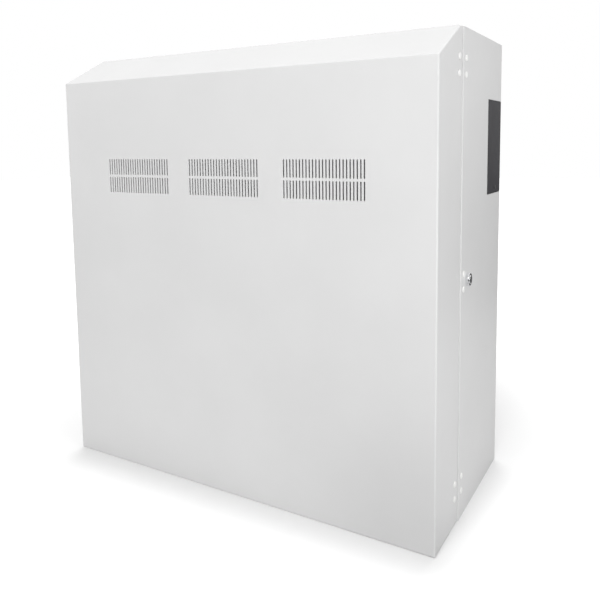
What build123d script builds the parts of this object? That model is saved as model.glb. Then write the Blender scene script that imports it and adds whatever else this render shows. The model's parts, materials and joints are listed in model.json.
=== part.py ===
"""Wall cabinet for rack batteries: folded sheet body, deep hinged front cover, side cam lock.

Millimetres. +Z is up, the cover faces -Y, the lock is on +X and the hinges are on -X.
The origin is the centre of the base.
"""
import os

from build123d import *

os.makedirs("parts", exist_ok=True)

# Outside of the closed cabinet
WIDTH = 600
DEPTH = 284
HEIGHT = 630
SHEET = 1.5
BEND = 2.0
FRONT_BEND = 2.5
BRACKET_BEND = 3.0
SIDE_X = WIDTH / 2
INNER_X = SIDE_X - SHEET
FRONT_Y = -DEPTH / 2
REAR_Y = DEPTH / 2
MID_Z = HEIGHT / 2

# The seam between the cover and the body, and the slope along the cover's top edge
SEAM_Y = -54
SEAM_GAP = 2
COVER_STEP = 1.0
COVER_SIDE_X = SIDE_X - COVER_STEP
COVER_INNER_X = COVER_SIDE_X - SHEET
COVER_REAR = SEAM_Y - SEAM_GAP / 2
BODY_FRONT = SEAM_Y + SEAM_GAP / 2
COVER_LIFT = 0.5
SLOPE_Z = 588
SLOPE_DEPTH = 79
SLOPE_Y = FRONT_Y + SLOPE_DEPTH
COVER_LIP = 15.5
BODY_LIP = 18
REAR_FLANGE = 20
CORNER_RELIEF = 20
END_FLANGE_L = 178

# Vents in the cover
VENT_Z = 447.2
VENT_ROW_PITCH = 26.5
VENT_GROUP_PITCH = 153
SLOT_COUNT = 25
SLOT_PITCH = 4.675
SLOT_WIDTH = 1.8
SLOT_LENGTH = 23.3

# Hinge and plug holes share one pattern on both sides of the seam
COLUMN_OFFSET = 12.5
BODY_COLUMN = SEAM_Y + COLUMN_OFFSET
COVER_COLUMN = SEAM_Y - COLUMN_OFFSET
HINGE_ZS = (47, 583)
HOLE_STEP = 10
HOLE_R = 3.0
HOLE_ZS = [z + step for z in HINGE_ZS for step in (-HOLE_STEP, HOLE_STEP)]
LOCK_PLUG_ZS = (MID_Z - HOLE_STEP, MID_Z + HOLE_STEP)

# Plugs
PLUG_HEAD_R = 4.0
PLUG_HEAD_T = 1.2
PLUG_STEM_R = 2.7
PLUG_STEM_L = 4.0

# Hinges
LEAF_T = 1.6
LEAF_H = 40
LEAF_REACH = 20
LEAF_CLEAR = 3.3
KNUCKLE_R = 3.3
KNUCKLE_LIFT = 0.3
HINGE_AXIS_X = -SIDE_X - KNUCKLE_R - KNUCKLE_LIFT
PIN_R = 1.6
PIN_BORE_R = 1.65
PIN_HEAD_R = 2.8
PIN_HEAD_T = 1.2
KNUCKLE_GAP = 0.3
KNUCKLE_H = (LEAF_H - 2 * KNUCKLE_GAP) / 3

# Shape of all screw heads: rounding and drive depth as shares of the head's height
HEAD_ROUNDING = 0.7
DRIVE_DEPTH = 0.6
DRIVE_W = 0.9

# Screws and nuts of the hinges
SCREW_R = 2.5
SCREW_HEAD_R = 4.4
SCREW_HEAD_T = 1.5
SCREW_L = 9
NUT_FLAT = 8.0
NUT_T = 4.0
NUT_BORE_R = 2.8

# Lock
LOCK_Y = -25
LOCK_Z = MID_Z
LOCK_HEAD_R = 8.8
LOCK_HEAD_T = 4.2
LOCK_HEAD_EDGE = 0.9
LOCK_BODY_R = 7.2
LOCK_BODY_L = 20
LOCK_HOLE_R = 7.5
LOCK_BORE_R = 5.55
LOCK_PLUG_R = 5.5
LOCK_PLUG_RISE = 0.8
LOCK_PLUG_EDGE = 0.5
LOCK_NUT_FLAT = 20
LOCK_NUT_T = 5
KEY_SLOT_L = 6.5
KEY_SLOT_W = 1.4
KEY_SLOT_D = 3
CAM_X = 277
CAM_T = 2
CAM_ROOT_R = 9
CAM_REACH = 30
CAM_W = 12
SHANK = 7.0
SHANK_HOLE = 7.3
CAM_SCREW_R = 1.9
CAM_SCREW_HOLE_R = 2.2
CAM_SCREW_HEAD_R = 5
CAM_SCREW_HEAD_T = 3
CAM_SCREW_L = 10

# Catch on the cover, held by the cam
CATCH_T = 2
CATCH_Z = 329
CATCH_H = 24
CATCH_WELD_Y = -86
CATCH_LEG_Y = -62
CATCH_ARM_X = 270
CATCH_HOOK_Y = -17.5
CATCH_HOOK_X = 280.2

# Stiffeners behind the cover's front
STIFFENER_X = 76.5
STIFFENER_T = 1.2
STIFFENER_FOOT = 18
STIFFENER_CROWN = 11
STIFFENER_D = 12
STIFFENER_Z = (40, 560)

# Cable openings in both sides, high at the rear edge, and the folded covers that fill them
OPENING_Y = 68
OPENING_Z = (417, 549)
OPENING_R = 1.0
COVER_GAP = 0.4
COVER_FLANGE = 20
TONGUE_Y = (83, 117)
TONGUE_Z = (535, 557)
TONGUE_T = 1.7
TONGUE_GAP = 0.3
TAB_Y = (99, 123)
TAB_Z = (392, 434)
TAB_SCREW_Z = 425
TAB_SCREW_R = 1.7
TAB_HOLE_R = 2.0
TAB_SCREW_HEAD_R = 3.2
TAB_SCREW_HEAD_T = 0.9
TAB_SCREW_L = 10
TAB_NUT_FLAT = 7
TAB_NUT_T = 3

# Nineteen-inch rails, four units deep, running front to back
RACK_UNIT = 44.45
RAIL_UNITS = 4
RAIL_HOLES_X = 232.55
RAIL_INNER_X = 225.5
RAIL_OUTER_X = 262
RAIL_TOP = 405
RAIL_DROP = 30
RAIL_T = 2
RAIL_FRONT = -44
RAIL_LENGTH = RACK_UNIT * RAIL_UNITS
RAIL_HOLE = 9.5
RAIL_OFFSETS = (6.35, 22.225, 38.1)
BRACKET_T = 2
BRACKET_W = 30
BRACKET_WEB_Z = 387
BRACKET_FOOT_Z = 355
BRACKET_TOP_Z = 401
BRACKET_YS = (-15, 105)
RAIL_SCREW_Z = 394
RAIL_SCREW_R = 2.5
RAIL_SCREW_HOLE_R = 2.8
RAIL_SCREW_HEAD_R = 4.6
RAIL_SCREW_HEAD_T = 3.5
RAIL_SCREW_L = 14

# Cage nuts in the corner holes of the rails
CAGE_W = 13
CAGE_L = 12
CAGE_H = 6.4
CAGE_T = 0.7
CAGE_EAR_W = 6
CAGE_EAR_LIP = 1.4
CAGE_NUT = 10.6
CAGE_NUT_T = 4.6
CAGE_NUT_GAP = 0.3
CAGE_BORE_R = 3.0

# Wall fixing holes in the back panel
WALL_HOLES_X = 400
WALL_HOLES_Z = 500
WALL_HOLE_R = 5
BACK_MARGIN = 3

# Earthing studs
STUD_R = 3
STUD_L = 16
WASHER_R = 6
WASHER_T = 1.6
STUD_HOLE_R = 3.3
EARTH_NUT_FLAT = 10
EARTH_NUT_T = 5
EARTH_X = -250
EARTH_Z = 40
COVER_EARTH_Y = -100
COVER_EARTH_Z = 90

# Sketch planes: local x and y are row X and Z on the front, row Y and Z on the sides
front_face = Plane(origin=(0, FRONT_Y, 0), x_dir=(1, 0, 0), z_dir=(0, -1, 0))
back_sheet = Plane(origin=(0, REAR_Y - SHEET, 0), x_dir=(1, 0, 0), z_dir=(0, -1, 0))
right_face = Plane(origin=(SIDE_X, 0, 0), x_dir=(0, 1, 0), z_dir=(1, 0, 0))
right_inside = right_face.offset(-SHEET)
lock_face = Plane(origin=(SIDE_X, LOCK_Y, LOCK_Z), x_dir=(0, 1, 0), z_dir=(1, 0, 0))
cam_face = Plane(origin=(CAM_X, LOCK_Y, LOCK_Z), x_dir=(0, 1, 0), z_dir=(1, 0, 0))
left_mirror = Plane.YZ


def folded_sheet(points, thickness, radius, plane):
    """Face of a folded sheet: a line with rounded bends, thickened to its left."""
    with BuildSketch(plane) as face:
        with BuildLine():
            FilletPolyline(*points, radius=radius)
            offset(amount=thickness, side=Side.LEFT)
        make_face()
    return face.sketch


def dome_stud(plane, head_r, head_t, shank_r, shank_l):
    """Low domed head standing on the plane with its shank below."""
    with BuildPart() as stud:
        with BuildSketch(plane):
            Circle(head_r)
        extrude(amount=head_t)
        rim = stud.faces().sort_by(Axis(plane.origin, plane.z_dir))[-1].edges()
        fillet(rim, head_t * HEAD_ROUNDING)
        with BuildSketch(plane):
            Circle(shank_r)
        extrude(amount=-shank_l)
    return stud.part


def cross_screw(plane, head_r, head_t, shank_r, shank_l):
    """Domed screw with a cross recess in its head."""
    with BuildPart() as screw:
        add(dome_stud(plane, head_r, head_t, shank_r, shank_l))
        with BuildSketch(plane.offset(head_t)):
            Rectangle(head_r, DRIVE_W)
            Rectangle(DRIVE_W, head_r)
        extrude(amount=-head_t * DRIVE_DEPTH, mode=Mode.SUBTRACT)
    return screw.part


def hex_nut(plane, flat, thickness, bore_r):
    """Hexagonal nut standing on the plane."""
    with BuildPart() as nut:
        with BuildSketch(plane):
            RegularPolygon(flat / 2, 6, major_radius=False)
            Circle(bore_r, mode=Mode.SUBTRACT)
        extrude(amount=thickness)
    return nut.part


def side_plane(x, y, z, outward):
    """Plane on a side of the cabinet; outward is 1 for its right and -1 for its left."""
    return Plane(origin=(x, y, z), x_dir=(0, outward, 0), z_dir=(outward, 0, 0))


# ---------------------------------------------------------------- front cover

cover_outline = [
    (FRONT_Y, COVER_LIFT),
    (FRONT_Y, SLOPE_Z),
    (SLOPE_Y, HEIGHT),
    (COVER_REAR, HEIGHT),
    (COVER_REAR, COVER_LIFT),
]

with BuildPart() as door_skin:
    with BuildSketch(Plane.YZ):
        Polygon(*cover_outline, align=None)
    extrude(amount=COVER_SIDE_X, both=True)
    folds = door_skin.edges().filter_by(lambda e: e.center().Y < COVER_REAR - BEND)
    fillet(folds, BEND)
    with BuildSketch(Plane.YZ):
        Polygon(*cover_outline, align=None)
        offset(amount=-SHEET, mode=Mode.REPLACE)
    extrude(amount=COVER_INNER_X, both=True, mode=Mode.SUBTRACT)
    with BuildSketch(Plane.XZ.offset(-COVER_REAR)):
        with Locations((0, (HEIGHT + COVER_LIFT) / 2)):
            Rectangle(2 * (COVER_SIDE_X - COVER_LIP), HEIGHT - COVER_LIFT - 2 * COVER_LIP)
    extrude(amount=SHEET, both=True, mode=Mode.SUBTRACT)
    with BuildSketch(front_face):
        with Locations((0, VENT_Z)):
            with GridLocations(VENT_GROUP_PITCH, VENT_ROW_PITCH, 3, 2):
                with GridLocations(SLOT_PITCH, 0, SLOT_COUNT, 1):
                    SlotOverall(SLOT_LENGTH, SLOT_WIDTH, rotation=90)
    extrude(amount=-2 * SHEET, mode=Mode.SUBTRACT)
    with BuildSketch(Plane.YZ):
        with Locations(*[(COVER_COLUMN, z) for z in HOLE_ZS]):
            Circle(HOLE_R)
    extrude(amount=SIDE_X, both=True, mode=Mode.SUBTRACT)
door_skin.part.label = "door_skin"
export_step(door_skin.part, "parts/door_skin.step")

with BuildPart() as door_stiffeners:
    for middle_x in (-STIFFENER_X, STIFFENER_X):
        inner_y = FRONT_Y + SHEET
        hat_line = [
            (middle_x - STIFFENER_FOOT, inner_y),
            (middle_x - STIFFENER_CROWN, inner_y),
            (middle_x - STIFFENER_CROWN, inner_y + STIFFENER_D),
            (middle_x + STIFFENER_CROWN, inner_y + STIFFENER_D),
            (middle_x + STIFFENER_CROWN, inner_y),
            (middle_x + STIFFENER_FOOT, inner_y),
        ]
        hat = folded_sheet(hat_line, STIFFENER_T, BEND, Plane.XY.offset(STIFFENER_Z[0]))
        extrude(hat, amount=STIFFENER_Z[1] - STIFFENER_Z[0])
door_stiffeners.part.label = "door_stiffeners"
export_step(door_stiffeners.part, "parts/door_stiffeners.step")

catch_line = [
    (COVER_INNER_X, CATCH_WELD_Y),
    (COVER_INNER_X, CATCH_LEG_Y),
    (CATCH_ARM_X, CATCH_LEG_Y),
    (CATCH_ARM_X, CATCH_HOOK_Y),
    (CATCH_HOOK_X, CATCH_HOOK_Y),
]

with BuildPart() as catch_bracket:
    catch = folded_sheet(catch_line, CATCH_T, BRACKET_BEND, Plane.XY.offset(CATCH_Z))
    extrude(catch, amount=CATCH_H)
catch_bracket.part.label = "catch_bracket"
export_step(catch_bracket.part, "parts/catch_bracket.step")

# ------------------------------------------------------------------ body panels

side_line = [
    (SIDE_X - BODY_LIP, BODY_FRONT),
    (SIDE_X, BODY_FRONT),
    (SIDE_X, REAR_Y),
    (SIDE_X - REAR_FLANGE, REAR_Y),
]

opening_middle = (OPENING_Y + REAR_Y, sum(OPENING_Z) / 2)
opening_size = (2 * REAR_Y, OPENING_Z[1] - OPENING_Z[0])

# The right side with everything that both sides share
with BuildPart() as side_blank:
    extrude(folded_sheet(side_line, SHEET, [FRONT_BEND, BEND], Plane.XY), amount=HEIGHT)
    for relief_z in (CORNER_RELIEF / 2, HEIGHT - CORNER_RELIEF / 2):
        with Locations((INNER_X - REAR_FLANGE, 0, relief_z)):
            Box(2 * REAR_FLANGE, 2 * DEPTH, CORNER_RELIEF, mode=Mode.SUBTRACT)
    with BuildSketch(right_face):
        with Locations(*[(BODY_COLUMN, z) for z in HOLE_ZS]):
            Circle(HOLE_R)
    extrude(amount=-2 * SHEET, mode=Mode.SUBTRACT)
    with BuildSketch(right_face):
        with Locations(opening_middle):
            RectangleRounded(*opening_size, OPENING_R)
    extrude(amount=-2 * REAR_FLANGE, mode=Mode.SUBTRACT)

with BuildPart() as right_side_panel:
    add(side_blank.part)
    with BuildSketch(right_face):
        with Locations((LOCK_Y, LOCK_Z)):
            Circle(LOCK_HOLE_R)
        with Locations(*[(BODY_COLUMN, z) for z in LOCK_PLUG_ZS]):
            Circle(HOLE_R)
    extrude(amount=-2 * SHEET, mode=Mode.SUBTRACT)
right_side_panel.part.label = "right_side_panel"
export_step(right_side_panel.part, "parts/right_side_panel.step")

with BuildPart() as left_side_panel:
    mirror(side_blank.part, about=left_mirror)
left_side_panel.part.label = "left_side_panel"
export_step(left_side_panel.part, "parts/left_side_panel.step")

lid_line = [
    (BODY_FRONT, HEIGHT - BODY_LIP),
    (BODY_FRONT, HEIGHT),
    (REAR_Y, HEIGHT),
    (REAR_Y, HEIGHT - BODY_LIP),
]

with BuildPart() as top_panel:
    lid = folded_sheet(lid_line[::-1], SHEET, BEND, Plane.YZ.offset(-INNER_X))
    extrude(lid, amount=2 * INNER_X)
    flange_z = HEIGHT - (BODY_LIP + SHEET) / 2
    for flange_x in (-INNER_X + SHEET / 2, INNER_X - SHEET / 2):
        with Locations((flange_x, (BODY_FRONT + REAR_Y) / 2, flange_z)):
            Box(SHEET, END_FLANGE_L, BODY_LIP - SHEET)
top_panel.part.label = "top_panel"
export_step(top_panel.part, "parts/top_panel.step")

with BuildPart() as bottom_panel:
    mirror(top_panel.part, about=Plane.XY.offset(MID_Z))
bottom_panel.part.label = "bottom_panel"
export_step(bottom_panel.part, "parts/bottom_panel.step")

with BuildPart() as back_panel:
    with BuildSketch(back_sheet):
        with Locations((0, MID_Z)):
            Rectangle(2 * (INNER_X - SHEET), HEIGHT - 2 * BACK_MARGIN)
            with GridLocations(WALL_HOLES_X, WALL_HOLES_Z, 2, 2):
                Circle(WALL_HOLE_R, mode=Mode.SUBTRACT)
    extrude(amount=SHEET)
back_panel.part.label = "back_panel"
export_step(back_panel.part, "parts/back_panel.step")

# ------------------------------------------------------------------ hinges

lower_knuckle = -LEAF_H / 2
upper_knuckle = LEAF_H / 2 - KNUCKLE_H


def hinge_leaf(toward, face_x, centre_z, knuckle_starts):
    """Leaf lying on the face at face_x; toward is 1 for the body's and -1 for the cover's."""
    leaf_x = face_x - LEAF_T / 2
    link_x = (face_x + HINGE_AXIS_X + KNUCKLE_R / 2) / 2
    link_t = face_x - HINGE_AXIS_X - KNUCKLE_R / 2
    near = SEAM_Y + toward * LEAF_CLEAR
    far = SEAM_Y + toward * LEAF_REACH
    with BuildPart() as leaf:
        with Locations((leaf_x, (near + far) / 2, centre_z)):
            Box(LEAF_T, abs(far - near), LEAF_H)
        for start in knuckle_starts:
            with BuildSketch(Plane.XY.offset(centre_z + start)):
                with Locations((HINGE_AXIS_X, SEAM_Y)):
                    Circle(KNUCKLE_R)
                with Locations((link_x, (SEAM_Y + near) / 2)):
                    Rectangle(link_t, abs(near - SEAM_Y))
                with Locations((HINGE_AXIS_X, SEAM_Y)):
                    Circle(PIN_BORE_R, mode=Mode.SUBTRACT)
            extrude(amount=KNUCKLE_H)
        with BuildSketch(Plane.YZ.offset(face_x)):
            with Locations((SEAM_Y + toward * COLUMN_OFFSET, centre_z)):
                with GridLocations(0, 2 * HOLE_STEP, 1, 2):
                    Circle(HOLE_R)
        extrude(amount=-LEAF_T, mode=Mode.SUBTRACT)
    return leaf.part


with BuildPart() as hinge_leaves_body:
    for hinge_z in HINGE_ZS:
        add(hinge_leaf(1, -SIDE_X, hinge_z, (lower_knuckle, upper_knuckle)))
hinge_leaves_body.part.label = "hinge_leaves_body"
export_step(hinge_leaves_body.part, "parts/hinge_leaves_body.step")

with BuildPart() as hinge_leaves_door:
    for hinge_z in HINGE_ZS:
        add(hinge_leaf(-1, -COVER_SIDE_X, hinge_z, (-KNUCKLE_H / 2,)))
hinge_leaves_door.part.label = "hinge_leaves_door"
export_step(hinge_leaves_door.part, "parts/hinge_leaves_door.step")

with BuildPart() as hinge_pins:
    for hinge_z in HINGE_ZS:
        with Locations((HINGE_AXIS_X, SEAM_Y, hinge_z)):
            Cylinder(PIN_R, LEAF_H)
        with Locations((HINGE_AXIS_X, SEAM_Y, hinge_z + (LEAF_H + PIN_HEAD_T) / 2)):
            Cylinder(PIN_HEAD_R, PIN_HEAD_T)
hinge_pins.part.label = "hinge_pins"
export_step(hinge_pins.part, "parts/hinge_pins.step")

with BuildPart() as hinge_screws_body:
    for hole_z in HOLE_ZS:
        seat = side_plane(-SIDE_X - LEAF_T, BODY_COLUMN, hole_z, -1)
        add(cross_screw(seat, SCREW_HEAD_R, SCREW_HEAD_T, SCREW_R, SCREW_L))
hinge_screws_body.part.label = "hinge_screws_body"
export_step(hinge_screws_body.part, "parts/hinge_screws_body.step")

with BuildPart() as hinge_screws_door:
    for hole_z in HOLE_ZS:
        seat = side_plane(-COVER_SIDE_X - LEAF_T, COVER_COLUMN, hole_z, -1)
        add(cross_screw(seat, SCREW_HEAD_R, SCREW_HEAD_T, SCREW_R, SCREW_L))
hinge_screws_door.part.label = "hinge_screws_door"
export_step(hinge_screws_door.part, "parts/hinge_screws_door.step")

with BuildPart() as hinge_nuts_body:
    for hole_z in HOLE_ZS:
        add(hex_nut(side_plane(-INNER_X, BODY_COLUMN, hole_z, 1), NUT_FLAT, NUT_T, NUT_BORE_R))
hinge_nuts_body.part.label = "hinge_nuts_body"
export_step(hinge_nuts_body.part, "parts/hinge_nuts_body.step")

with BuildPart() as hinge_nuts_door:
    for hole_z in HOLE_ZS:
        seat = side_plane(-COVER_INNER_X, COVER_COLUMN, hole_z, 1)
        add(hex_nut(seat, NUT_FLAT, NUT_T, NUT_BORE_R))
hinge_nuts_door.part.label = "hinge_nuts_door"
export_step(hinge_nuts_door.part, "parts/hinge_nuts_door.step")

# ------------------------------------------------------------------ hole plugs

with BuildPart() as plugs_body:
    for plug_z in HOLE_ZS + list(LOCK_PLUG_ZS):
        seat = side_plane(SIDE_X, BODY_COLUMN, plug_z, 1)
        add(dome_stud(seat, PLUG_HEAD_R, PLUG_HEAD_T, PLUG_STEM_R, PLUG_STEM_L))
plugs_body.part.label = "plugs_body"
export_step(plugs_body.part, "parts/plugs_body.step")

with BuildPart() as plugs_door:
    for plug_z in HOLE_ZS:
        seat = side_plane(COVER_SIDE_X, COVER_COLUMN, plug_z, 1)
        add(dome_stud(seat, PLUG_HEAD_R, PLUG_HEAD_T, PLUG_STEM_R, PLUG_STEM_L))
plugs_door.part.label = "plugs_door"
export_step(plugs_door.part, "parts/plugs_door.step")

# ------------------------------------------------------------------ cam lock

with BuildPart() as lock_housing:
    with BuildSketch(lock_face):
        Circle(LOCK_HEAD_R)
    extrude(amount=LOCK_HEAD_T)
    fillet(lock_housing.faces().sort_by(Axis.X)[-1].edges(), LOCK_HEAD_EDGE)
    with BuildSketch(lock_face):
        Circle(LOCK_BODY_R)
    extrude(amount=-LOCK_BODY_L)
    with BuildSketch(lock_face):
        Circle(LOCK_BORE_R)
    extrude(amount=LOCK_BODY_L + LOCK_HEAD_T, both=True, mode=Mode.SUBTRACT)
lock_housing.part.label = "lock_housing"
export_step(lock_housing.part, "parts/lock_housing.step")

with BuildPart() as lock_nut:
    with BuildSketch(lock_face.offset(-SHEET)):
        RegularPolygon(LOCK_NUT_FLAT / 2, 6, major_radius=False)
        Circle(LOCK_HOLE_R, mode=Mode.SUBTRACT)
    extrude(amount=-LOCK_NUT_T)
lock_nut.part.label = "lock_nut"
export_step(lock_nut.part, "parts/lock_nut.step")

plug_face_x = SIDE_X + LOCK_HEAD_T + LOCK_PLUG_RISE
plug_length = plug_face_x - CAM_X - CAM_T

with BuildPart() as lock_plug:
    with BuildSketch(cam_face.offset(CAM_T)):
        Circle(LOCK_PLUG_R)
    extrude(amount=plug_length)
    fillet(lock_plug.faces().sort_by(Axis.X)[-1].edges(), LOCK_PLUG_EDGE)
    with BuildSketch(lock_face.offset(LOCK_HEAD_T + LOCK_PLUG_RISE)):
        Rectangle(KEY_SLOT_W, KEY_SLOT_L)
    extrude(amount=-KEY_SLOT_D, mode=Mode.SUBTRACT)
    with BuildSketch(cam_face):
        Rectangle(SHANK, SHANK)
    extrude(amount=CAM_T)
    with BuildSketch(cam_face):
        Circle(CAM_SCREW_HOLE_R)
    extrude(amount=CAM_SCREW_L + CAM_T, mode=Mode.SUBTRACT)
lock_plug.part.label = "lock_plug"
export_step(lock_plug.part, "parts/lock_plug.step")

with BuildPart() as lock_cam:
    with BuildSketch(cam_face):
        Circle(CAM_ROOT_R)
        with Locations((-(CAM_REACH - CAM_W / 2) / 2, 0)):
            Rectangle(CAM_REACH - CAM_W / 2, CAM_W)
        with Locations((-(CAM_REACH - CAM_W / 2), 0)):
            Circle(CAM_W / 2)
        Rectangle(SHANK_HOLE, SHANK_HOLE, mode=Mode.SUBTRACT)
    extrude(amount=CAM_T)
lock_cam.part.label = "lock_cam"
export_step(lock_cam.part, "parts/lock_cam.step")

with BuildPart() as lock_cam_screw:
    with BuildSketch(cam_face):
        Circle(CAM_SCREW_HEAD_R)
    extrude(amount=-CAM_SCREW_HEAD_T)
    with BuildSketch(cam_face):
        Circle(CAM_SCREW_R)
    extrude(amount=CAM_SCREW_L)
lock_cam_screw.part.label = "lock_cam_screw"
export_step(lock_cam_screw.part, "parts/lock_cam_screw.step")

# ------------------------------------------------------------------ cable covers

cover_line = [
    (SIDE_X, OPENING_Y + COVER_GAP),
    (SIDE_X, REAR_Y),
    (SIDE_X - COVER_FLANGE, REAR_Y),
]
cover_bottom = OPENING_Z[0] + COVER_GAP
cover_top = OPENING_Z[1] - COVER_GAP
tongue_y = sum(TONGUE_Y) / 2
tongue_w = TONGUE_Y[1] - TONGUE_Y[0]
tongue_inner_x = INNER_X - TONGUE_T
tab_middle = (sum(TAB_Y) / 2, sum(TAB_Z) / 2)
tab_size = (TAB_Y[1] - TAB_Y[0], TAB_Z[1] - TAB_Z[0])

with BuildPart() as right_cable_cover:
    cover_sheet = folded_sheet(cover_line, SHEET, BEND, Plane.XY.offset(cover_bottom))
    extrude(cover_sheet, amount=cover_top - cover_bottom)
    with Locations((tongue_inner_x + TONGUE_T / 2, tongue_y, (TONGUE_Z[0] + cover_top) / 2)):
        Box(TONGUE_T, tongue_w, cover_top - TONGUE_Z[0])
    tongue_t = TONGUE_T - TONGUE_GAP
    with Locations((tongue_inner_x + tongue_t / 2, tongue_y, sum(TONGUE_Z) / 2)):
        Box(tongue_t, tongue_w, TONGUE_Z[1] - TONGUE_Z[0])
    with BuildSketch(right_face):
        with Locations((tab_middle[0], TAB_SCREW_Z)):
            Circle(TAB_HOLE_R)
    extrude(amount=-2 * SHEET, mode=Mode.SUBTRACT)
right_cable_cover.part.label = "right_cable_cover"
export_step(right_cable_cover.part, "parts/right_cable_cover.step")

with BuildPart() as left_cable_cover:
    mirror(right_cable_cover.part, about=left_mirror)
left_cable_cover.part.label = "left_cable_cover"
export_step(left_cable_cover.part, "parts/left_cable_cover.step")

with BuildPart() as cover_tabs:
    with BuildSketch(right_inside):
        with Locations(tab_middle):
            Rectangle(*tab_size)
        with Locations((tab_middle[0], TAB_SCREW_Z)):
            Circle(TAB_HOLE_R, mode=Mode.SUBTRACT)
    extrude(amount=-SHEET)
    mirror(about=left_mirror)
cover_tabs.part.label = "cover_tabs"
export_step(cover_tabs.part, "parts/cover_tabs.step")

with BuildPart() as cover_screws:
    for side in (-1, 1):
        seat = side_plane(side * SIDE_X, tab_middle[0], TAB_SCREW_Z, side)
        add(dome_stud(seat, TAB_SCREW_HEAD_R, TAB_SCREW_HEAD_T, TAB_SCREW_R, TAB_SCREW_L))
cover_screws.part.label = "cover_screws"
export_step(cover_screws.part, "parts/cover_screws.step")

with BuildPart() as cover_nuts:
    for side in (-1, 1):
        seat = side_plane(side * (INNER_X - SHEET), tab_middle[0], TAB_SCREW_Z, -side)
        add(hex_nut(seat, TAB_NUT_FLAT, TAB_NUT_T, TAB_HOLE_R))
cover_nuts.part.label = "cover_nuts"
export_step(cover_nuts.part, "parts/cover_nuts.step")

# ------------------------------------------------------------------ rails

rail_line = [
    (RAIL_OUTER_X, RAIL_TOP - RAIL_DROP),
    (RAIL_OUTER_X, RAIL_TOP),
    (RAIL_INNER_X, RAIL_TOP),
]
rail_front_plane = Plane(origin=(0, RAIL_FRONT, 0), x_dir=(1, 0, 0), z_dir=(0, -1, 0))
unit_starts = [RAIL_FRONT + unit * RACK_UNIT for unit in range(RAIL_UNITS)]
rail_hole_ys = [start + step for start in unit_starts for step in RAIL_OFFSETS]

with BuildPart() as right_rail:
    extrude(folded_sheet(rail_line, RAIL_T, BEND, rail_front_plane), amount=-RAIL_LENGTH)
    with BuildSketch(Plane.XY.offset(RAIL_TOP)):
        with Locations(*[(RAIL_HOLES_X, y) for y in rail_hole_ys]):
            Rectangle(RAIL_HOLE, RAIL_HOLE)
    extrude(amount=-2 * RAIL_T, mode=Mode.SUBTRACT)
    with BuildSketch(Plane.YZ.offset(RAIL_OUTER_X)):
        with Locations(*[(y, RAIL_SCREW_Z) for y in BRACKET_YS]):
            Circle(RAIL_SCREW_HOLE_R)
    extrude(amount=-2 * RAIL_T, mode=Mode.SUBTRACT)
right_rail.part.label = "right_rail"
export_step(right_rail.part, "parts/right_rail.step")

with BuildPart() as left_rail:
    mirror(right_rail.part, about=left_mirror)
left_rail.part.label = "left_rail"
export_step(left_rail.part, "parts/left_rail.step")

bracket_line = [
    (INNER_X, BRACKET_FOOT_Z),
    (INNER_X, BRACKET_WEB_Z),
    (RAIL_OUTER_X + BRACKET_T, BRACKET_WEB_Z),
    (RAIL_OUTER_X + BRACKET_T, BRACKET_TOP_Z),
]

with BuildPart() as rail_brackets:
    for bracket_y in BRACKET_YS:
        bracket_plane = Plane(
            origin=(0, bracket_y - BRACKET_W / 2, 0), x_dir=(1, 0, 0), z_dir=(0, -1, 0)
        )
        bracket = folded_sheet(bracket_line, BRACKET_T, BRACKET_BEND, bracket_plane)
        extrude(bracket, amount=-BRACKET_W)
    with BuildSketch(Plane.YZ.offset(RAIL_OUTER_X)):
        with Locations(*[(y, RAIL_SCREW_Z) for y in BRACKET_YS]):
            Circle(RAIL_SCREW_HOLE_R)
    extrude(amount=2 * BRACKET_T, mode=Mode.SUBTRACT)
    mirror(about=left_mirror)
rail_brackets.part.label = "rail_brackets"
export_step(rail_brackets.part, "parts/rail_brackets.step")

with BuildPart() as rail_screws:
    for side in (-1, 1):
        for bracket_y in BRACKET_YS:
            seat = side_plane(side * (RAIL_OUTER_X - RAIL_T), bracket_y, RAIL_SCREW_Z, -side)
            head = (RAIL_SCREW_HEAD_R, RAIL_SCREW_HEAD_T)
            add(cross_screw(seat, *head, RAIL_SCREW_R, RAIL_SCREW_L))
rail_screws.part.label = "rail_screws"
export_step(rail_screws.part, "parts/rail_screws.step")

with BuildPart() as rail_nuts:
    for side in (-1, 1):
        for bracket_y in BRACKET_YS:
            seat = side_plane(side * (RAIL_OUTER_X + BRACKET_T), bracket_y, RAIL_SCREW_Z, side)
            add(hex_nut(seat, NUT_FLAT, NUT_T, NUT_BORE_R))
rail_nuts.part.label = "rail_nuts"
export_step(rail_nuts.part, "parts/rail_nuts.step")

corner_ys = (rail_hole_ys[0], rail_hole_ys[-1])
corner_holes = [(side * RAIL_HOLES_X, y) for side in (-1, 1) for y in corner_ys]
cage_top = RAIL_TOP - RAIL_T

with BuildPart() as nut_cages:
    for hole_x, hole_y in corner_holes:
        with Locations((hole_x, hole_y, cage_top - CAGE_H / 2)):
            Box(CAGE_W, CAGE_L, CAGE_H)
            Box(CAGE_W - 2 * CAGE_T, 2 * CAGE_L, CAGE_H - 2 * CAGE_T, mode=Mode.SUBTRACT)
            Cylinder(CAGE_BORE_R + CAGE_NUT_GAP, 2 * CAGE_H, mode=Mode.SUBTRACT)
        for ear in (-1, 1):
            ear_x = hole_x + ear * (RAIL_HOLE - CAGE_T) / 2
            with Locations((ear_x, hole_y, cage_top + (RAIL_T + CAGE_T) / 2)):
                Box(CAGE_T, CAGE_EAR_W, RAIL_T + CAGE_T)
            with Locations((ear_x + ear * CAGE_EAR_LIP / 2, hole_y, RAIL_TOP + CAGE_T / 2)):
                Box(CAGE_EAR_LIP, CAGE_EAR_W, CAGE_T)
nut_cages.part.label = "nut_cages"
export_step(nut_cages.part, "parts/nut_cages.step")

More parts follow.
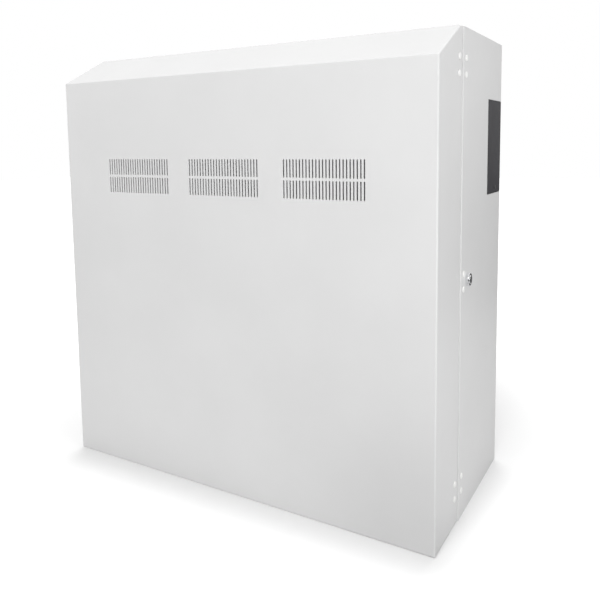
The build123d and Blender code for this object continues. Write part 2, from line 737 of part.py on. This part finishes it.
with BuildPart() as cage_nuts:
    for hole_x, hole_y in corner_holes:
        with Locations((hole_x, hole_y, cage_top - CAGE_H / 2)):
            Box(CAGE_NUT, CAGE_NUT, CAGE_NUT_T)
            Cylinder(CAGE_BORE_R, 2 * CAGE_NUT_T, mode=Mode.SUBTRACT)
cage_nuts.part.label = "cage_nuts"
export_step(cage_nuts.part, "parts/cage_nuts.step")

# ------------------------------------------------------------------ earthing studs

body_earth = Plane(
    origin=(EARTH_X, REAR_Y - 2 * SHEET, EARTH_Z), x_dir=(1, 0, 0), z_dir=(0, -1, 0)
)
cover_earth = side_plane(-COVER_INNER_X, COVER_EARTH_Y, COVER_EARTH_Z, 1)


def earth_stud(plane):
    """Stud welded to a panel."""
    with BuildPart() as stud:
        with BuildSketch(plane):
            Circle(STUD_R)
        extrude(amount=STUD_L)
    return stud.part


def earth_washer(plane):
    """Washer lying on the panel round the stud."""
    with BuildPart() as washer:
        with BuildSketch(plane):
            Circle(WASHER_R)
            Circle(STUD_HOLE_R, mode=Mode.SUBTRACT)
        extrude(amount=WASHER_T)
    return washer.part


with BuildPart() as earth_stud_body:
    add(earth_stud(body_earth))
earth_stud_body.part.label = "earth_stud_body"
export_step(earth_stud_body.part, "parts/earth_stud_body.step")

with BuildPart() as earth_washer_body:
    add(earth_washer(body_earth))
earth_washer_body.part.label = "earth_washer_body"
export_step(earth_washer_body.part, "parts/earth_washer_body.step")

with BuildPart() as earth_nut_body:
    add(hex_nut(body_earth.offset(WASHER_T), EARTH_NUT_FLAT, EARTH_NUT_T, STUD_HOLE_R))
earth_nut_body.part.label = "earth_nut_body"
export_step(earth_nut_body.part, "parts/earth_nut_body.step")

with BuildPart() as earth_stud_door:
    add(earth_stud(cover_earth))
earth_stud_door.part.label = "earth_stud_door"
export_step(earth_stud_door.part, "parts/earth_stud_door.step")

with BuildPart() as earth_washer_door:
    add(earth_washer(cover_earth))
earth_washer_door.part.label = "earth_washer_door"
export_step(earth_washer_door.part, "parts/earth_washer_door.step")

with BuildPart() as earth_nut_door:
    add(hex_nut(cover_earth.offset(WASHER_T), EARTH_NUT_FLAT, EARTH_NUT_T, STUD_HOLE_R))
earth_nut_door.part.label = "earth_nut_door"
export_step(earth_nut_door.part, "parts/earth_nut_door.step")
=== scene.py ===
"""Studio picture of the wall cabinet: materials, floor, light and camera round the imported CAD."""
import json
import math

import bpy
from mathutils import Matrix, Vector

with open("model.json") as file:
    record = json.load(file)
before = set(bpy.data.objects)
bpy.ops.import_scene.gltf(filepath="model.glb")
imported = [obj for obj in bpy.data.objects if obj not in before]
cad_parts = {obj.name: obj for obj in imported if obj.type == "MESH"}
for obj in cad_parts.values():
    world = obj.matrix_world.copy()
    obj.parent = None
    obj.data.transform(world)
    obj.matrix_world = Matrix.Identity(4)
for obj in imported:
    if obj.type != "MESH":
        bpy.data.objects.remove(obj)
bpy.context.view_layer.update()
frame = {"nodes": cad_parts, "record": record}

# ---------------------------------------------------------------- numbers of the picture

# Camera: place in metres, turns, focal length in millimetres, and vertical shift in frames
CAMERA_PLACE = Vector((0.5302, -0.8442, 0.4916))
CAMERA_YAW = math.radians(30.27)
CAMERA_PITCH = math.radians(-5.84)
CAMERA_ROLL = math.radians(-0.743)
CAMERA_LENS = 39.0
CAMERA_SHIFT = -0.15

# Sun lamp: azimuth from the front towards the right, elevation, spread, strength
TOP_SUN = (200, 86, 6, 1.2)

# Soft boxes: place, size, power, and whether gloss shows them; they face the middle
FRONT_BOX = ((0.3, -3.0, 2.4), 1.6, 66.0, True)
SIDE_BOX = ((1.0, -0.42, 0.45), 0.4, 2.8, False)
MIDDLE = Vector((0, 0, 0.35))

# Room: brightness in view, as soft light, and in gloss, where it rises with the ray's upward part
ROOM_SEEN = 1.0
ROOM_GIVEN = 0.60
ROOM_GLOSS = (0.1, 1.0)
ROOM_GLOSS_RISE = (-0.15, 0.1)

# Floor: half its side and its gap below the cabinet in metres, roughness, clouds per metre
FLOOR_HALF = 8.0
FLOOR_DROP = 0.0002
FLOOR_ROUGHNESS = 0.9
FLOOR_CLOUDS = 2

# Floor colour: in view from cloud to cloud, for soft light, and for soft light around one place,
# where a darker grey is painted shade that throws back less light onto the cabinet's lower front
# right
FLOOR_SEEN = (0.73, 0.74)
FLOOR_GIVEN = 0.60
# Painted shade: the floor's dark grey for soft light round the near front right corner, its place
# and its reach
FLOOR_PAINTED_SHADE = 0.06
PAINTED_SHADE_PLACE = (0.31, -0.33, 0.0)
PAINTED_SHADE_REACH = (0.05, 0.30)

# Floor colour far away in gloss, and the distances over which it gets there
FLOOR_FAR_GLOSS = 0.05
FAR_GLOSS_REACH = (1.0, 1.3)

# Floor glow: in view, rising over a reach of distances, and for what stands within a touch of it
FLOOR_GLOW = (0.05, 0.5)
GLOW_REACH = (0.30, 0.85)
TOUCH = 0.002
TOUCH_GLOW = 0.55

# ---------------------------------------------------------------- camera


def add_camera():
    """A camera turned from looking along +Y: left by the yaw, down by the pitch, then rolled."""
    camera = bpy.data.cameras.new("camera")
    camera.lens = CAMERA_LENS
    camera.shift_y = CAMERA_SHIFT
    camera_object = bpy.data.objects.new("camera", camera)
    turn = Matrix.Rotation(CAMERA_YAW, 4, "Z")
    tilt = Matrix.Rotation(math.pi / 2 + CAMERA_PITCH, 4, "X")
    roll = Matrix.Rotation(CAMERA_ROLL, 4, "Z")
    camera_object.matrix_world = Matrix.Translation(CAMERA_PLACE) @ turn @ tilt @ roll
    bpy.context.scene.collection.objects.link(camera_object)
    bpy.context.scene.camera = camera_object


# ---------------------------------------------------------------- node helpers


def grey(level):
    return (level, level, level, 1)


class Nodes:
    """A node tree, with the few nodes that the materials and the room are made of."""

    def __init__(self, tree):
        self.tree = tree

    def feed(self, socket, value):
        """Links a socket to another one, or sets it to a constant."""
        if isinstance(value, bpy.types.NodeSocket):
            self.tree.links.new(value, socket)
        else:
            socket.default_value = value

    def add(self, kind, inputs, **settings):
        """A node with its settings, fed by name or by number of input."""
        node = self.tree.nodes.new(kind)
        for name, value in settings.items():
            setattr(node, name, value)
        for name, value in inputs.items():
            self.feed(node.inputs[name], value)
        return node

    def calculate(self, operation, first, second):
        node = self.add("ShaderNodeMath", {0: first, 1: second}, operation=operation)
        return node.outputs["Value"]

    def rescale(self, value, reach, levels, curve="LINEAR"):
        """Number running from one level to the other as the value runs over the reach."""
        node = self.add(
            "ShaderNodeMapRange",
            {
                "Value": value,
                "From Min": reach[0],
                "From Max": reach[1],
                "To Min": levels[0],
                "To Max": levels[1],
            },
            interpolation_type=curve,
        )
        return node.outputs["Result"]

    def mix_colours(self, share, first, second):
        inputs = {"Fac": share, "Color1": first, "Color2": second}
        return self.add("ShaderNodeMixRGB", inputs).outputs["Color"]

    def mix_shaders(self, share, first, second):
        inputs = {"Fac": share, 1: first, 2: second}
        return self.add("ShaderNodeMixShader", inputs).outputs["Shader"]


class Shader(Nodes):
    """A material; roughness is its plain value, which gloss() varies over the piece."""

    def __init__(self, name, roughness, metallic=0.0):
        self.material = bpy.data.materials.new(name)
        self.material.use_nodes = True
        super().__init__(self.material.node_tree)
        self.surface = self.tree.nodes["Principled BSDF"]
        self.surface.inputs["Roughness"].default_value = roughness
        self.surface.inputs["Metallic"].default_value = metallic
        self.place = self.add("ShaderNodeTexCoord", {}).outputs["Object"]

    def noise(self, scale, detail=2.0, stretch=(1, 1, 1)):
        """Noise over the piece; scale is in waves per metre."""
        mapping = self.add("ShaderNodeMapping", {"Vector": self.place, "Scale": stretch})
        inputs = {"Vector": mapping.outputs["Vector"], "Scale": scale, "Detail": detail}
        return self.add("ShaderNodeTexNoise", inputs).outputs["Fac"]

    def cells(self, scale):
        """Irregular cells, each with its own grey; scale is in cells per metre."""
        texture = self.add("ShaderNodeTexVoronoi", {"Vector": self.place, "Scale": scale})
        return texture.outputs["Color"]

    def distance(self, place):
        """Distance in metres from a place on the object."""
        inputs = {0: self.place, 1: place}
        return self.add("ShaderNodeVectorMath", inputs, operation="DISTANCE").outputs["Value"]

    def ramp(self, factor, low, high, start=0.3, end=0.7):
        """Colour running from low to high as the factor runs from start to end."""
        ramp = self.add("ShaderNodeValToRGB", {"Fac": factor})
        first, last = ramp.color_ramp.elements
        first.position, first.color = start, (*low, 1)
        last.position, last.color = end, (*high, 1)
        return ramp.outputs["Color"]

    def colour(self, factor, low, high, start=0.3, end=0.7):
        self.feed(self.surface.inputs["Base Color"], self.ramp(factor, low, high, start, end))

    def gloss(self, factor, low, high):
        self.feed(self.surface.inputs["Roughness"], self.rescale(factor, (0, 1), (low, high)))

    def relief(self, heights, depth):
        """Bumps from one height map after another, each with its share of the depth in metres."""
        normal = None
        for height, share in heights:
            inputs = {"Height": height, "Strength": share, "Distance": depth}
            if normal:
                inputs["Normal"] = normal
            normal = self.add("ShaderNodeBump", inputs).outputs["Normal"]
        self.feed(self.surface.inputs["Normal"], normal)


# ---------------------------------------------------------------- materials


def powder_coat():
    """Light grey powder coat with a fine orange peel."""
    shader = Shader("powder_coat", roughness=0.42)
    clouds = shader.noise(scale=9, detail=3)
    shader.colour(clouds, low=(0.605, 0.605, 0.605), high=(0.625, 0.625, 0.625))
    shader.gloss(shader.noise(scale=60, detail=3), low=0.38, high=0.46)
    grain = shader.noise(scale=700, detail=1)
    orange_peel = shader.noise(scale=160, detail=1)
    shader.relief([(grain, 0.25), (orange_peel, 0.2)], depth=0.00004)
    return shader.material


def plug_plastic():
    """White moulded plastic."""
    shader = Shader("plug_plastic", roughness=0.35)
    shader.colour(shader.noise(scale=120), low=(0.77, 0.77, 0.76), high=(0.81, 0.81, 0.80))
    shader.gloss(shader.noise(scale=300), low=0.30, high=0.40)
    shader.relief([(shader.noise(scale=1500), 0.2)], depth=0.00003)
    return shader.material


def dark_cover():
    """Dark grey powder coat with a fine matt grain."""
    shader = Shader("dark_cover", roughness=0.5)
    shader.surface.inputs["Specular IOR Level"].default_value = 0.15
    clouds = shader.noise(scale=25, detail=4)
    shader.colour(clouds, low=(0.030, 0.029, 0.033), high=(0.037, 0.036, 0.040))
    shader.gloss(shader.noise(scale=90, detail=3), low=0.44, high=0.56)
    shader.relief([(shader.noise(scale=1800, detail=2), 0.5)], depth=0.00005)
    return shader.material


def black_screw():
    """Black coated steel, half matt."""
    shader = Shader("black_screw", roughness=0.4)
    shader.colour(shader.noise(scale=300), low=(0.018, 0.018, 0.019), high=(0.028, 0.028, 0.029))
    shader.gloss(shader.noise(scale=700), low=0.34, high=0.46)
    shader.relief([(shader.noise(scale=1500), 0.3)], depth=0.00003)
    return shader.material


def lock_chrome():
    """Polished chrome with faint polishing marks."""
    shader = Shader("lock_chrome", roughness=0.08, metallic=1.0)
    shader.colour(shader.noise(scale=200), low=(0.78, 0.79, 0.81), high=(0.84, 0.84, 0.85))
    marks = shader.noise(scale=900, detail=3, stretch=(1, 6, 1))
    shader.gloss(marks, low=0.05, high=0.13)
    return shader.material


def zinc_steel():
    """Zinc-plated sheet with a soft spangle."""
    shader = Shader("zinc_steel", roughness=0.36, metallic=1.0)
    spangle = shader.cells(scale=140)
    shader.colour(spangle, low=(0.55, 0.56, 0.58), high=(0.66, 0.67, 0.69), start=0.1, end=0.9)
    shader.gloss(shader.noise(scale=140, detail=4), low=0.28, high=0.44)
    rolled = shader.noise(scale=500, detail=2, stretch=(1, 5, 1))
    shader.relief([(rolled, 0.3)], depth=0.00004)
    return shader.material


def screw_steel():
    """Bright zinc-plated fasteners."""
    shader = Shader("screw_steel", roughness=0.26, metallic=1.0)
    shader.colour(shader.noise(scale=150), low=(0.62, 0.61, 0.58), high=(0.70, 0.71, 0.73))
    shader.gloss(shader.noise(scale=700, detail=3), low=0.20, high=0.34)
    shader.relief([(shader.noise(scale=1200, detail=2), 0.3)], depth=0.00003)
    return shader.material


def dress_nodes():
    """Gives each CAD node the finish of its material slot."""
    finishes = {
        "powder_coat": powder_coat(),
        "plug_plastic": plug_plastic(),
        "dark_cover": dark_cover(),
        "black_screw": black_screw(),
        "lock_chrome": lock_chrome(),
        "zinc_steel": zinc_steel(),
        "screw_steel": screw_steel(),
    }
    for part in frame["record"]["subparts"]:
        for slot in frame["nodes"][part["node"]].material_slots:
            slot.material = finishes[part["material_slot"]]


# ---------------------------------------------------------------- studio


def floor_colour(shader, path):
    """Painted shade round the near front corner for soft light, darkening the cabinet's lower front
    right; dark far away in gloss, white in view.
    """
    # painted shade: dark floor grey near the corner, blending out to the plain soft-light grey
    shade_share = shader.rescale(shader.distance(PAINTED_SHADE_PLACE), PAINTED_SHADE_REACH, (0, 1), "SMOOTHSTEP")
    painted_shade = shader.mix_colours(shade_share, grey(FLOOR_PAINTED_SHADE), grey(FLOOR_GIVEN))
    far = shader.rescale(shader.distance((0, 0, 0)), FAR_GLOSS_REACH, (0, 1), "SMOOTHSTEP")
    far_gloss = shader.calculate("MULTIPLY", far, path["Is Glossy Ray"])
    given = shader.mix_colours(far_gloss, painted_shade, grey(FLOOR_FAR_GLOSS))
    low, high = FLOOR_SEEN
    seen = shader.ramp(shader.noise(FLOOR_CLOUDS), (low, low, low), (high, high, high))
    return shader.mix_colours(path["Is Camera Ray"], given, seen)


def floor_glow(shader, path):
    """Rising with distance in view, and on the underside of whatever stands on the floor."""
    glow = shader.rescale(shader.distance((0, 0, 0)), GLOW_REACH, FLOOR_GLOW, "SMOOTHSTEP")
    in_view = shader.calculate("MULTIPLY", glow, path["Is Camera Ray"])
    touching = shader.calculate("LESS_THAN", path["Ray Length"], TOUCH)
    under = shader.calculate("MULTIPLY", touching, path["Is Diffuse Ray"])
    return shader.calculate("ADD", in_view, shader.calculate("MULTIPLY", under, TOUCH_GLOW))


def add_floor():
    """A white floor, clear from below, whiter in view than in the light that it throws back."""
    corners = [(-1, -1), (1, -1), (1, 1), (-1, 1)]
    mesh = bpy.data.meshes.new("floor")
    mesh.from_pydata(
        [(x * FLOOR_HALF, y * FLOOR_HALF, -FLOOR_DROP) for x, y in corners], [], [(0, 1, 2, 3)]
    )
    floor = bpy.data.objects.new("floor", mesh)

    shader = Shader("floor_white", FLOOR_ROUGHNESS)
    path = shader.add("ShaderNodeLightPath", {}).outputs
    shader.feed(shader.surface.inputs["Base Color"], floor_colour(shader, path))
    shader.feed(shader.surface.inputs["Emission Strength"], floor_glow(shader, path))
    shader.feed(shader.surface.inputs["Emission Color"], grey(1))

    below = shader.add("ShaderNodeNewGeometry", {}).outputs["Backfacing"]
    clear = shader.add("ShaderNodeBsdfTransparent", {}).outputs["BSDF"]
    one_side = shader.mix_shaders(below, shader.surface.outputs["BSDF"], clear)
    shader.feed(shader.tree.nodes["Material Output"].inputs["Surface"], one_side)
    mesh.materials.append(shader.material)
    bpy.context.scene.collection.objects.link(floor)


def add_room():
    """A white room: plain in view, darker towards the horizon in gloss, and a soft light."""
    world = bpy.data.worlds.new("studio")
    world.use_nodes = True
    nodes = Nodes(world.node_tree)

    def white(strength):
        inputs = {"Color": grey(1), "Strength": strength}
        return nodes.add("ShaderNodeBackground", inputs).outputs["Background"]

    direction = nodes.add("ShaderNodeTexCoord", {}).outputs["Generated"]
    height = nodes.add("ShaderNodeSeparateXYZ", {"Vector": direction}).outputs["Z"]
    glossy = white(nodes.rescale(height, ROOM_GLOSS_RISE, ROOM_GLOSS))
    path = nodes.add("ShaderNodeLightPath", {}).outputs
    gloss_or_view = nodes.mix_shaders(path["Is Glossy Ray"], white(ROOM_SEEN), glossy)
    room = nodes.mix_shaders(path["Is Diffuse Ray"], gloss_or_view, white(ROOM_GIVEN))
    nodes.feed(nodes.tree.nodes["World Output"].inputs["Surface"], room)
    bpy.context.scene.world = world


def add_sun(name, azimuth, elevation, spread, strength):
    """A soft sun lamp; azimuth 0 is in front of the cabinet and 90 to its right."""
    lamp = bpy.data.lights.new(name, "SUN")
    lamp.angle = math.radians(spread)
    lamp.energy = strength
    lamp_object = bpy.data.objects.new(name, lamp)
    turn = Matrix.Rotation(math.radians(azimuth), 4, "Z")
    tilt = Matrix.Rotation(math.radians(90 - elevation), 4, "X")
    lamp_object.matrix_world = turn @ tilt
    bpy.context.scene.collection.objects.link(lamp_object)


def add_soft_box(name, place, size, power, glints):
    """A square area lamp facing the middle of the cabinet, with or without its own reflection."""
    lamp = bpy.data.lights.new(name, "AREA")
    lamp.shape = "SQUARE"
    lamp.size = size
    lamp.energy = power
    lamp_object = bpy.data.objects.new(name, lamp)
    lamp_object.location = place
    aim = MIDDLE - Vector(place)
    lamp_object.rotation_euler = aim.to_track_quat("-Z", "Y").to_euler()
    lamp_object.visible_glossy = glints
    bpy.context.scene.collection.objects.link(lamp_object)


def add_studio():
    bpy.context.scene.view_settings.view_transform = "Standard"
    add_floor()
    add_room()
    add_soft_box("front_box", *FRONT_BOX)
    add_sun("top", *TOP_SUN)
    add_soft_box("side_box", *SIDE_BOX)


add_camera()
dress_nodes()
add_studio()
